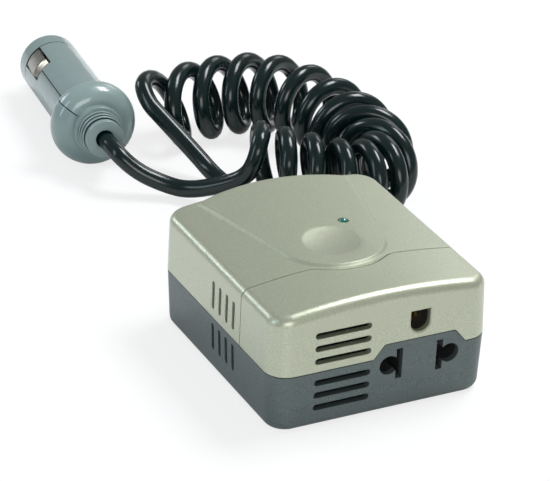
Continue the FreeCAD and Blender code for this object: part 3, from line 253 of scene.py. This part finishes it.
table_finish.fill(table_finish.tree.nodes["Material Output"], {"Surface": lifted.outputs[0]})
table_mesh.materials.append(table_finish.material)


# Carried-over pieces
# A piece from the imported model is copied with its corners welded, so that its rounded faces
# shade smoothly while its sharp edges stay crisp. Where two pieces meet, the joint between them
# is opened by a hair, as moulded parts leave it.
weld_reach = 1e-6
on_plane = 1e-5
smooth_limit = math.radians(32)


def plain_mesh(piece):
    """Turns what an object's modifiers make into its own mesh."""
    shapes = bpy.context.evaluated_depsgraph_get()
    made = bpy.data.meshes.new_from_object(piece.evaluated_get(shapes))
    piece.modifiers.clear()
    piece.data = made


def evenly_shaded(piece):
    """Lets broad faces lead the shading at a soft edge."""
    even = piece.modifiers.new("even_shading", "WEIGHTED_NORMAL")
    even.mode = "FACE_AREA_WITH_ANGLE"
    even.keep_sharp = True
    plain_mesh(piece)


def stands_for(piece, nodes, body="converter"):
    """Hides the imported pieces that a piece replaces, and hangs it on the body that moves it."""
    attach(piece, body)
    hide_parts(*nodes)


def in_plane(origin, direction):
    """Test for the places that lie in a plane."""
    return lambda place: abs((place - origin).dot(direction)) < on_plane


def beside(node, reach):
    """Test for the places that lie close to another piece."""
    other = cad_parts[node].data
    faces = BVHTree.FromPolygons([corner.co for corner in other.vertices],
                                 [face.vertices for face in other.polygons])
    return lambda place: faces.find_nearest(place, reach)[0] is not None


def dressed(node, finish, body="converter", joint=None):
    """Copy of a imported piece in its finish. A joint is a test for corners and how far they move."""
    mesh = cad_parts[node].data.copy()
    work = bmesh.new()
    work.from_mesh(mesh)
    bmesh.ops.remove_doubles(work, verts=work.verts, dist=weld_reach)
    if joint:
        at_joint, move = joint
        for corner in work.verts:
            if at_joint(corner.co):
                corner.co += move
    for edge in work.edges:
        edge.smooth = len(edge.link_faces) == 2 and edge.calc_face_angle(0) < smooth_limit
    for face in work.faces:
        face.smooth = True
    work.to_mesh(mesh)
    work.free()
    mesh.materials.clear()
    mesh.materials.append(finish.material)
    piece = bpy.data.objects.new(node + "_finished", mesh)
    scene.collection.objects.link(piece)
    evenly_shaded(piece)
    stands_for(piece, [node], body)
    return piece


# Lower half of the case
# Injection-moulded ABS in a dark metallic grey with a green cast. Its surface is finely sparked,
# and it carries the lower vents, the socket step and the screw bosses.
case_edge_round = 0.00025
dark_case = Finish("dark_case_plastic", {"Metallic": 0.4})
dark_case.looks({"Base Color": dark_case.sparkle((0.060, 0.077, 0.076), (0.127, 0.158, 0.154)),
                 "Roughness": dark_case.uneven(0.36, spread=0.14, scale=900, detail=3)})
dark_case.relief(depth=0.00002, scale=3800, detail=2, edge_round=case_edge_round)
dressed("lower_shell", dark_case)


# Upper covers
# Two silver covers of the same plastic, painted in pale champagne metallic, meet at the curved
# seam. The rear one carries the raised tongue with its thumb dimple.
seam_reach = 0.00025
seam_move = Vector((0, -0.00016, 0))
silver_case = Finish("silver_case_plastic", {
    "Metallic": 0.6, "Coat Weight": 0.45, "Coat Roughness": 0.26})
silver_case.looks({"Base Color": silver_case.sparkle((0.36, 0.38, 0.285), (0.50, 0.525, 0.40)),
                   "Roughness": silver_case.uneven(0.34, spread=0.12, scale=700, detail=3)})
silver_case.relief(depth=0.00002, scale=4000, detail=1, edge_round=case_edge_round)
dressed("front_cover", silver_case, joint=(beside("rear_cover", seam_reach), seam_move))
dressed("rear_cover", silver_case)


# Cord
# Glossy black-green PVC over two conductors, wound into curls that lie in a loose ring on the
# table. It comes out of the bush at the back and runs to the plug; its line is one smooth spline.
cord_diameter = 0.0056
cord_radius = cord_diameter / 2
cord_smoothness = 10
cord_roundness = 6
spline_order = 3
curl_radius = 0.0108
curl_turns = 15.5
curl_start_angle = math.radians(-60)
curl_first = 0.4
curl_last = 15.4
points_per_turn = 16
route_smoothness = 24
plug_exit_points = [
    (-0.01231, 0.13893, 0.01419), (-0.01481, 0.12065, 0.01542), (-0.0090, 0.1142, 0.0086),
    (-0.0010, 0.1092, 0.0046), (0.0050, 0.1040, 0.0036), (0.0134, 0.0946, 0.0084),
    (0.0185, 0.0893, 0.0128), (0.0208, 0.0880, 0.0188), (0.0228, 0.0898, 0.0234),
]
case_exit_points = [
    (0.0056, 0.1422, 0.0234), (0.0058, 0.1370, 0.0196), (0.0078, 0.1325, 0.0170),
    (0.0144, 0.1186, 0.0080), (0.0170, 0.1115, 0.0039), (0.0189, 0.1020, 0.0028),
    (0.0180, 0.0905, 0.0028), (0.0158, 0.0770, 0.0054), (0.0150, 0.0630, 0.0110),
    (0.0150, 0.0500, 0.0110),
]
curl_places = [
    (0.0243, 0.0983), (0.0267, 0.0936), (0.0335, 0.0860), (0.0410, 0.0770), (0.0490, 0.0695),
    (0.0580, 0.0720), (0.0632, 0.0845), (0.0637, 0.0980), (0.0625, 0.1113), (0.0600, 0.1259),
    (0.0544, 0.1397), (0.0449, 0.1462), (0.0324, 0.1472), (0.0194, 0.1447), (0.0084, 0.1437),
]
curl_facings = [-11, -12, -13, -6, 5, 6, 35, 77, 102, 120, 130, 135, 137, 139, 150]
curl_leans = [0, 0, 0, 0, 0, 0, 0, 0, 0, 1, 12, 16, 18, 19, 14]


def spline_curve(name, points, smoothness):
    """Open smooth curve with the points as its control points."""
    curve = bpy.data.curves.new(name, "CURVE")
    curve.dimensions = "3D"
    curve.resolution_u = smoothness
    spline = curve.splines.new("NURBS")
    spline.points.add(len(points) - 1)
    for control, point in zip(spline.points, points):
        control.co = (*point, 1)
    spline.order_u = spline_order
    spline.use_endpoint_u = True
    spline.resolution_u = smoothness
    curve_object = bpy.data.objects.new(name, curve)
    scene.collection.objects.link(curve_object)
    return curve_object


def smooth_route(name, points):
    """Points of a smooth line along others, evenly spaced in its parameter."""
    curve_object = spline_curve(name, points, route_smoothness)
    mesh = bpy.data.meshes.new_from_object(curve_object)
    points = [vertex.co.copy() for vertex in mesh.vertices]
    bpy.data.meshes.remove(mesh)
    bpy.data.objects.remove(curve_object)
    return points


def value_at(points, share):
    """Point at a share of the way through a run of evenly spaced points."""
    place = min(max(share, 0.0), 1.0) * (len(points) - 1)
    index = min(int(place), len(points) - 2)
    return points[index].lerp(points[index + 1], place - index)


plan_points = smooth_route("curl_plan", [(*place, 0) for place in curl_places])
tilt_points = smooth_route("curl_tilt", [(*pair, 0) for pair in zip(curl_facings, curl_leans)])

# A spline of order three runs inside its control points, so these lie a little outside the curls.
inside_share = (3 + math.cos(2 * math.pi / points_per_turn)) / 4
control_radius = curl_radius / inside_share
curl_points = []
steps = round((curl_last - curl_first) * points_per_turn)
for step in range(steps + 1):
    turns = curl_first + (curl_last - curl_first) * step / steps
    plan = value_at(plan_points, turns / curl_turns)
    tilt = value_at(tilt_points, turns / curl_turns)
    facing = math.radians(tilt.x)
    lean = math.radians(tilt.y)
    angle = curl_start_angle + 2 * math.pi * turns
    ahead = Vector((math.cos(facing), math.sin(facing), 0))
    outward = Vector((math.sin(facing), -math.cos(facing), 0))
    upward = Vector((0, 0, 1)) * math.cos(lean) + ahead * math.sin(lean)
    heart = Vector((plan.x, plan.y, cord_radius + curl_radius * math.cos(lean)))
    around = outward * math.cos(angle) + upward * math.sin(angle)
    curl_points.append(tuple(heart + around * control_radius))

cord = spline_curve("cord", plug_exit_points + curl_points + case_exit_points, cord_smoothness)
cord.data.bevel_depth = cord_radius
cord.data.bevel_resolution = cord_roundness
cord.data.use_fill_caps = True
cord_rubber = Finish("cord_rubber", {"Specular IOR Level": 0.4})
cord_rubber.looks({
    "Base Color": cord_rubber.mottled((0.0015, 0.0075, 0.0075), (0.0035, 0.0145, 0.0135),
                                      scale=180, detail=3),
    "Roughness": cord_rubber.uneven(0.17, spread=0.06, scale=260, detail=3)})
cord_rubber.relief(depth=0.00001, scale=1500, detail=2)
cord.data.materials.append(cord_rubber.material)
stands_for(cord, ["cord_case_lead", "cord_coil", "cord_plug_lead"])


# Bush at the back of the case
# Black rubber, moulded round the cord and clipped into the wall, with bending grooves.
grommet = dressed("cable_grommet", cord_rubber)


# Plug
# Grey-green nylon body in two halves, with a nose cap that comes off along the plug's line. Narrow
# joints show between the halves and behind the cap.
plug_base = Vector((-0.0119, 0.1419, 0.013989))
plug_axis = Vector((0.135415, 0.988553, -0.066519))
split_direction = Vector((-0.775162, 0.147520, 0.614298))
split_side = plug_axis.cross(split_direction)
split_gap = 0.00017
nose_start = 0.0505
nose_gap = 0.0004
nose_shade_share = 1.1


class Nylon(Finish):
    """Grey-green moulded nylon, with shade painted on low down, where the table shades it, and in its
    grooves and joints.
    """

    low_shade_colour = (0.06, 0.105, 0.105)
    groove_shade_colour = (0.03, 0.045, 0.045)
    shaded_below = 0.028
    shaded_by = 0.7
    edge_round = 0.00008

    def __init__(self, name):
        super().__init__(name, {"Coat Weight": 0.6, "Coat Roughness": 0.04}, "grey_green_plastic")
        unshaded_colour = self.mottled((0.222, 0.298, 0.291), (0.262, 0.340, 0.331), scale=300, detail=3)
        height = self.distance((0, 0, 0), (0, 0, 1))
        # Shade is painted into the base colour below this height, darkest at the table.
        low_down = (self.shaded_below - height) * (self.shaded_by / self.shaded_below)
        self.shade = self.blend(low_down, unshaded_colour, self.low_shade_colour)
        self.looks({"Base Color": self.shade,
                    "Roughness": self.uneven(0.26, spread=0.12, scale=500, detail=3)})
        self.relief(depth=0.000015, scale=2600, detail=2, edge_round=self.edge_round)
        self.station = self.distance(plug_base, plug_axis)

    def paint_shade(self, where):
        """Paints shade onto the base colour where a value is one, in grooves and joints."""
        self.looks({"Base Color": self.blend(where, self.shade, self.groove_shade_colour)})


plug_plastic = Nylon("grey_green_plastic")
nose_plastic = Nylon("nose_cap_plastic")
# Shade is painted on the cap's rim, in the joint behind it.
nose_plastic.paint_shade(nose_plastic.station.below(nose_start + nose_gap * nose_shade_share))
at_split = in_plane(plug_base, split_side)
at_nose = in_plane(plug_base + plug_axis * nose_start, plug_axis)
plug_upper = dressed("plug_shell_upper", plug_plastic, joint=(at_split, split_side * split_gap))
plug_lower = dressed("plug_shell_lower", plug_plastic, joint=(at_split, split_side * -split_gap))
plug_nose = dressed("plug_nose_cap", nose_plastic, "plug_nose", (at_nose, plug_axis * nose_gap))


# Ribbed sleeve of the plug
# The same nylon as the plug. It holds the cord with a thick collar against the flange, rings that
# let it bend, and a rounded end. The rings shrink a little towards the cord.
class Shape(Maker):
    """A Geometry Nodes tree with named sizes, which ends in plain faces with one finish."""

    def __init__(self, name, sizes, finish):
        super().__init__(bpy.data.node_groups.new(name, "GeometryNodeTree"))
        self.sizes = sizes
        self.finish = finish
        self.parts = []
        self.sockets = {}
        self.tree.interface.new_socket("Mesh", in_out="OUTPUT", socket_type="NodeSocketGeometry")
        for label, value in sizes.items():
            kind = "NodeSocketInt" if isinstance(value, int) else "NodeSocketFloat"
            self.sockets[label] = self.tree.interface.new_socket(label, in_out="INPUT",
                                                                 socket_type=kind)
        self.inputs = self.node("NodeGroupInput")
        self.result = self.node("NodeGroupOutput")

    def size(self, label):
        return Sum(self, self.inputs.outputs[label])

    def vector(self, x=0.0, y=0.0, z=0.0):
        return self.node("ShaderNodeCombineXYZ", {0: x, 1: y, 2: z}).outputs[0]

    def oblong(self, width, height):
        sockets = {"Width": width, "Height": height}
        return self.node("GeometryNodeCurvePrimitiveQuadrilateral", sockets).outputs[0]

    def circle(self, facets, radius):
        sockets = {"Resolution": facets, "Radius": radius}
        return self.node("GeometryNodeCurvePrimitiveCircle", sockets).outputs[0]

    def rounded(self, outline, radius, facets):
        sockets = {"Curve": outline, "Radius": radius, "Count": facets}
        return self.node("GeometryNodeFilletCurve", sockets, mode="POLY").outputs[0]

    def swept(self, path, profile):
        sockets = {"Curve": path, "Profile Curve": profile}
        return self.node("GeometryNodeCurveToMesh", sockets).outputs[0]

    def row(self, item, count, start, step, **sockets):
        """Copies of an item along the upright axis."""
        line = self.node("GeometryNodeMeshLine", {
            "Count": count, "Start Location": self.vector(z=start), "Offset": self.vector(z=step),
        }, mode="OFFSET")
        sockets.update(Points=line.outputs[0], Instance=item)
        return self.node("GeometryNodeInstanceOnPoints", sockets).outputs[0]

    def object(self, name):
        """Makes an object of the joined parts, as a plain mesh."""
        joined = self.node("GeometryNodeJoinGeometry")
        for part in self.parts:
            self.tree.links.new(part, joined.inputs[0])
        real = self.node("GeometryNodeRealizeInstances", {0: joined.outputs[0]})
        smooth = self.node("GeometryNodeSetShadeSmooth", {0: real.outputs[0]})
        painted = self.node("GeometryNodeSetMaterial",
                            {"Geometry": smooth.outputs[0], "Material": self.finish.material})
        self.fill(self.result, {0: painted.outputs[0]})
        piece = bpy.data.objects.new(name, bpy.data.meshes.new(name))
        scene.collection.objects.link(piece)
        modifier = piece.modifiers.new("shape", "NODES")
        modifier.node_group = self.tree
        for label, value in self.sizes.items():
            modifier[self.sockets[label].identifier] = value
        plain_mesh(piece)
        piece.data.materials.clear()
        piece.data.materials.append(self.finish.material)
        piece.data.polygons.foreach_set("material_index", [0] * len(piece.data.polygons))
        evenly_shaded(piece)
        return piece


def band(shape, inner, outer, low, high):
    """Ring with rounded edges between two radii and two heights."""
    profile = shape.rounded(shape.oblong(outer - inner, high - low), shape.size("Edge Radius"),
                            shape.size("Edge Facets"))
    ring = shape.swept(shape.circle(shape.size("Facets"), (inner + outer) * 0.5), profile)
    raised = {"Geometry": ring, "Translation": shape.vector(z=(low + high) * 0.5)}
    return shape.node("GeometryNodeTransform", raised).outputs[0]


# Shade is painted in the grooves between the rings, inside a radius that grows towards the flange,
# from the last groove on.
groove_shade_radius = 0.00636
groove_shade_slope = 0.112
last_groove = -0.0133
sleeve_plastic = Nylon("sleeve_plastic")
station = sleeve_plastic.station
along_split = sleeve_plastic.distance(plug_base, split_direction)
across_split = sleeve_plastic.distance(plug_base, split_side)
shade_edge = (station - last_groove) * groove_shade_slope + groove_shade_radius
from_axis_squared = along_split * along_split + across_split * across_split
in_groove_shade = from_axis_squared.below(shade_edge * shade_edge)
sleeve_plastic.paint_shade(in_groove_shade * (last_groove - station).below(0))
sleeve = Shape("ribbed_sleeve", {
    "Bore Radius": 0.00292, "Core Bore Growth": 1.04, "Core Radius": 0.0049, "Inside Share": 0.85,
    "Rib Radius": 0.0071, "Collar Radius": 0.0081, "End Radius": 0.0062, "Root": 0.0040,
    "Collar Start": -0.0048, "Collar End": -0.00785, "First Rib": -0.00848, "Rib Pitch": 0.00178,
    "Rib Width": 0.00118, "Rib Shrink": 0.03, "End Start": -0.01325, "End": -0.0152,
    "Edge Radius": 0.00028, "Edge Facets": 4, "Ribs": 3, "Facets": 96,
}, sleeve_plastic)
size = sleeve.size
inside_core = size("Core Radius") * size("Inside Share")
overlap = size("Edge Radius") * 2
half_rib = size("Rib Width") * 0.5
core = band(sleeve, size("Bore Radius") * size("Core Bore Growth"), size("Core Radius"),
            size("End Start") - overlap, size("Root"))
collar = band(sleeve, inside_core, size("Collar Radius"), size("Collar End"), size("Collar Start"))
end = band(sleeve, size("Bore Radius"), size("End Radius"), size("End"), size("End Start"))
rib = band(sleeve, inside_core, size("Rib Radius"), half_rib * -1, half_rib)
rib_number = Sum(sleeve, sleeve.node("GeometryNodeInputIndex").outputs[0])
rib_scale = 1 - size("Rib Shrink") * rib_number
ribs = sleeve.row(rib, size("Ribs"), size("First Rib"), size("Rib Pitch") * -1,
                  Scale=sleeve.vector(rib_scale, rib_scale, 1.0))
sleeve.parts += [core, collar, end, ribs]
strain_relief = sleeve.object("ribbed_sleeve")
plug_turn = Matrix((split_direction, split_side, plug_axis)).transposed()
strain_relief.data.transform(Matrix.Translation(plug_base) @ plug_turn.to_4x4())
stands_for(strain_relief, ["plug_strain_relief"])


# Plug contacts
# Nickel-plated tip, fuse, spring and leaves. With the bush, the sleeve and the plug's body they
# hang on the one cord.
nickel = Finish("nickel", {"Base Color": (0.28, 0.265, 0.23, 1), "Metallic": 1.0})
nickel.looks({"Roughness": nickel.uneven(0.2, spread=0.1, scale=300, detail=2)})
tip_contact = dressed("plug_tip_contact", nickel, "plug_tip")
fuse = dressed("plug_fuse", nickel, "plug_tip")
left_leaf = dressed("plug_side_contact_left", nickel, "plug_contact_left")
right_leaf = dressed("plug_side_contact_right", nickel, "plug_contact_right")
plug_spring = dressed("plug_spring", nickel)


# Socket insulator and contacts
# Black moulding behind the openings, with brass leaves in its pockets.
black_plastic = Finish("black_plastic", {"Base Color": (0.02, 0.021, 0.022, 1), "Roughness": 0.45})
black_plastic.relief(depth=0.00002, scale=2500, detail=2)
brass = Finish("brass", {"Base Color": (0.72, 0.53, 0.22, 1), "Metallic": 1.0})
brass.looks({"Roughness": brass.uneven(0.25, spread=0.15, scale=600, detail=3)})
dressed("socket_insulator", black_plastic)
for contact in ("left_contact", "right_contact", "earth_contact"):
    dressed(contact, brass)


# Power light
# Clear green dome on two legs, pushed up through the cover.
green_lens = Finish("green_lens", {"Roughness": 0.1, "Coat Weight": 0.8, "Coat Roughness": 0.05})
green_lens.looks({"Base Color": green_lens.mottled((0.0, 0.06, 0.045), (0.01, 0.20, 0.13),
                                                   scale=900, detail=2)})
dressed("power_light", green_lens)


# Screws
# Zinc-plated cross-head screws from below and on the board.
screw_steel = Finish("screw_steel", {"Base Color": (0.55, 0.55, 0.56, 1), "Metallic": 1.0})
screw_steel.looks({"Roughness": screw_steel.uneven(0.26, spread=0.16, scale=1200, detail=3)})
dressed("case_screws", screw_steel)
dressed("board_screws", screw_steel)


# Circuit board and what stands on it
# Green glass-fibre board with a ferrite transformer, an aluminium heat sink and their parts.
board_green = Finish("board", {"Roughness": 0.35})
board_green.looks({"Base Color": board_green.mottled((0.03, 0.16, 0.07), (0.07, 0.28, 0.13),
                                                     scale=420, detail=3)})
ferrite = Finish("ferrite", {"Base Color": (0.06, 0.06, 0.062, 1), "Roughness": 0.7})
ferrite.relief(depth=0.00003, scale=1800, detail=3)
aluminium = Finish("aluminium", {"Base Color": (0.75, 0.75, 0.76, 1), "Metallic": 1.0})
aluminium.looks({"Roughness": aluminium.uneven(0.3, spread=0.2, scale=900, detail=2)})
sleeve_blue = Finish("capacitor_sleeve", {"Base Color": (0.03, 0.04, 0.09, 1)})
sleeve_blue.looks({"Roughness": sleeve_blue.uneven(0.2, spread=0.1, scale=500, detail=2)})
red_wire = Finish("wire_sleeve", {"Base Color": (0.4, 0.03, 0.03, 1)})
red_wire.looks({"Roughness": red_wire.uneven(0.3, spread=0.1, scale=700, detail=2)})
for node, finish in (
        ("circuit_board", board_green), ("transformer_core", ferrite),
        ("transformer_bobbin", black_plastic), ("heat_sink", aluminium),
        ("sink_transistors", black_plastic), ("bridge_transistors", black_plastic),
        ("capacitors", sleeve_blue), ("control_chip", black_plastic),
        ("input_wires", red_wire), ("output_wires", red_wire)):
    dressed(node, finish)


# Transformer winding
# Golden enamelled wire, wound on the bobbin in layers. The outer layer shows turn beside turn, and
# lies on the inner ones, which are drawn as one block.
wire_radius = 0.0003
winding_low, winding_high = (Vector(corner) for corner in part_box("transformer_winding"))
winding_middle = (winding_low + winding_high) / 2
winding_span = winding_high - winding_low
winding_gold = Finish("copper_tape", {"Roughness": 0.3})
winding_gold.looks({"Base Color": winding_gold.mottled((0.48, 0.35, 0.04), (0.62, 0.48, 0.09),
                                                       scale=500, detail=2)})
winding = Shape("winding", {
    "Wire Radius": wire_radius, "Turns": int(winding_span.z / (2 * wire_radius)), "Wire Facets": 8,
    "Outer Width": winding_span.x, "Height": winding_span.z, "Layer Depth": 0.0036,
    "Corner Radius": 0.0042, "Corner Facets": 6,
}, winding_gold)


def wound(width, profile):
    """Sweeps a profile along a closed square line with round corners."""
    path = winding.rounded(winding.oblong(width, width), winding.size("Corner Radius"),
                           winding.size("Corner Facets"))
    return winding.swept(path, profile)


wire = winding.circle(winding.size("Wire Facets"), winding.size("Wire Radius"))
wire_width = winding.size("Wire Radius") * 2
path_width = winding.size("Outer Width") - wire_width
lowest_turn = winding.size("Wire Radius") - winding.size("Height") * 0.5
turns_of_wire = winding.row(wound(path_width, wire), winding.size("Turns"), lowest_turn, wire_width)
layer_depth = winding.size("Layer Depth")
inner_layers = wound(path_width - layer_depth, winding.oblong(layer_depth, winding.size("Height")))
winding.parts += [turns_of_wire, inner_layers]
winding_piece = winding.object("winding")
winding_piece.data.transform(Matrix.Translation(winding_middle))
stands_for(winding_piece, ["transformer_winding"])
